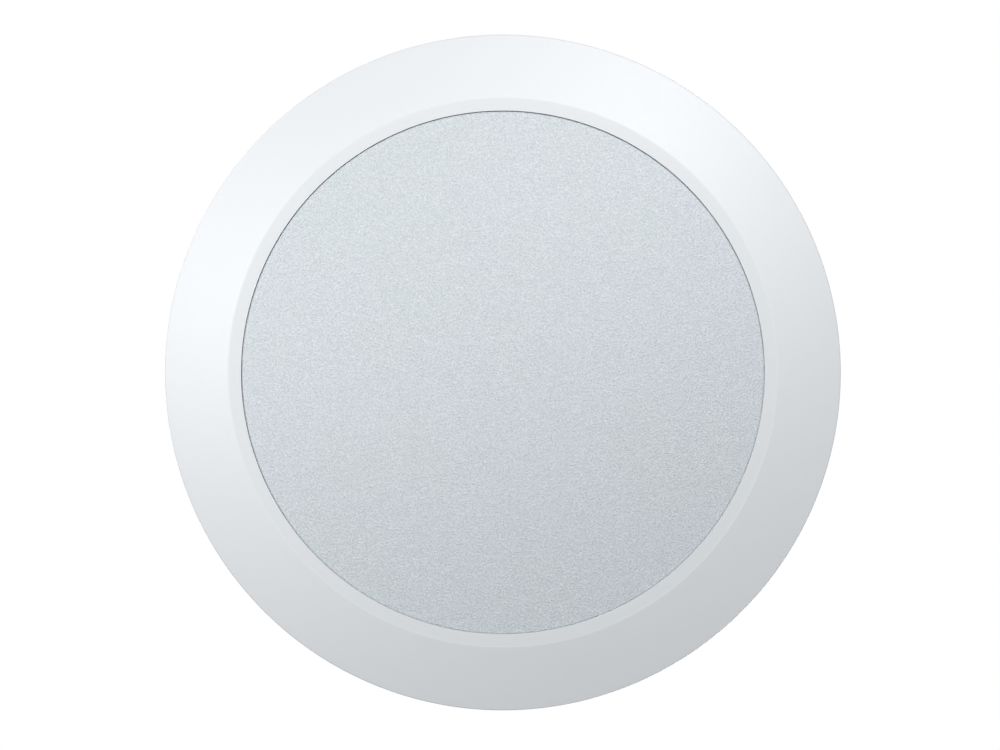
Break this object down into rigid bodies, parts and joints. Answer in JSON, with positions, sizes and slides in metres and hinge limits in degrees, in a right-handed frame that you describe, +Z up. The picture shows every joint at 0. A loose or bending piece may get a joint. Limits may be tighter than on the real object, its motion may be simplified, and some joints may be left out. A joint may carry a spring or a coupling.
{
  "type": "soffit downlight",
  "caption": "Slim round recessed soffit downlight: shallow conical white flange, frosted flush diffuser, driver pod and sprung fold-up clips on the back.",
  "frame": {"origin": "on the light's axis, in the plane where the flange gasket meets the underside of the soffit", "axes": "+Z up into the soffit void, away from the diffuser; +X towards the right-hand clip; +Y towards the cable entry"},
  "size_m": [0.12, 0.12, 0.0387],
  "materials": {
    "white_paint": "satin powder coat",
    "diffuser": "frosted, fine stipple",
    "clear_acrylic": "polished edge",
    "black_foam": "closed-cell foam",
    "silicone": "matte",
    "white_film": "matte white",
    "strip_white": "white solder mask",
    "led_chip": "phosphor",
    "zinc_steel": "zinc plated",
    "screw_steel": "bright zinc",
    "spring_steel": "drawn wire",
    "pod_plastic": "fine moulded texture",
    "board_green": "solder mask",
    "ferrite": "matte",
    "bobbin_black": "moulded",
    "winding_copper": "enamelled wire",
    "tape_yellow": "polyester tape",
    "capacitor_can": "sleeved aluminium",
    "capacitor_box": "moulded box",
    "chip_black": "moulded epoxy",
    "varistor_blue": "dipped epoxy",
    "fuse_brown": "moulded",
    "terminal_green": "moulded",
    "knob_black": "moulded",
    "grommet_rubber": "matte",
    "lead_red": "insulation",
    "lead_black": "insulation"
  },
  "bodies": {
    "light": {"trim_ring": "white_paint", "flange_gasket": "black_foam", "lens_seal": "silicone", "diffuser_lens": "diffuser", "light_guide": "clear_acrylic", "reflector_sheet": "white_film", "led_strip": "strip_white", "led_chips": "led_chip", "foam_pad": "black_foam", "back_plate": "zinc_steel", "back_plate_screws": "screw_steel", "driver_base": "pod_plastic", "driver_base_screws": "screw_steel", "driver_cover": "pod_plastic", "driver_cover_screws": "screw_steel", "terminal_cover_pin": "screw_steel", "driver_board": "board_green", "board_screws": "screw_steel", "bridge_rectifier": "chip_black", "safety_capacitor": "capacitor_box", "fuse": "fuse_brown", "controller_chip": "chip_black", "switching_transistor": "chip_black", "output_diode": "chip_black", "bulk_capacitor": "capacitor_can", "output_capacitor": "capacitor_can", "varistor": "varistor_blue", "transformer_core": "ferrite", "transformer_bobbin": "bobbin_black", "transformer_winding": "tape_yellow", "choke_core": "ferrite", "choke_winding": "winding_copper", "chip_resistors": "chip_black", "selector_switch": "zinc_steel", "terminal_block": "terminal_green", "terminal_screws": "screw_steel", "cable_grommet": "grommet_rubber", "cord_clamp": "bobbin_black", "cord_clamp_screws": "screw_steel", "lead_grommet": "grommet_rubber", "positive_lead": "lead_red", "negative_lead": "lead_black", "right_clip_bracket": "zinc_steel", "right_clip_rivets": "screw_steel", "right_clip_pin": "screw_steel", "right_clip_spring": "spring_steel", "left_clip_bracket": "zinc_steel", "left_clip_rivets": "screw_steel", "left_clip_pin": "screw_steel", "left_clip_spring": "spring_steel"},
    "terminal_flap": {"terminal_cover": "pod_plastic"},
    "selector": {"selector_knob": "knob_black"},
    "right_arm": {"right_clip_arm": "zinc_steel", "right_clip_sleeve": "grommet_rubber"},
    "left_arm": {"left_clip_arm": "zinc_steel", "left_clip_sleeve": "grommet_rubber"}
  },
  "joints": [
    {"name": "right_clip_fold", "type": "hinge", "parent": "light", "child": "right_arm", "pos_m": [0.038, 0, 0.01098], "axis": [0, -1, 0], "range_deg": [0, 95], "stiffness_Nm_per_rad": 0.03, "springref_deg": -45.84, "deforming": ["right_clip_spring"]},
    {"name": "left_clip_fold", "type": "hinge", "parent": "light", "child": "left_arm", "pos_m": [-0.038, 0, 0.01098], "axis": [0, 1, 0], "range_deg": [0, 95], "stiffness_Nm_per_rad": 0.03, "springref_deg": -45.84, "deforming": ["left_clip_spring"]},
    {"name": "terminal_cover_hinge", "type": "hinge", "parent": "light", "child": "terminal_flap", "pos_m": [0, 0.01955, 0.03218], "axis": [1, 0, 0], "range_deg": [0, 110]},
    {"name": "selector_slide", "type": "slide", "parent": "light", "child": "selector", "axis": [1, 0, 0], "range_m": [-0.002, 0.002]}
  ]
}
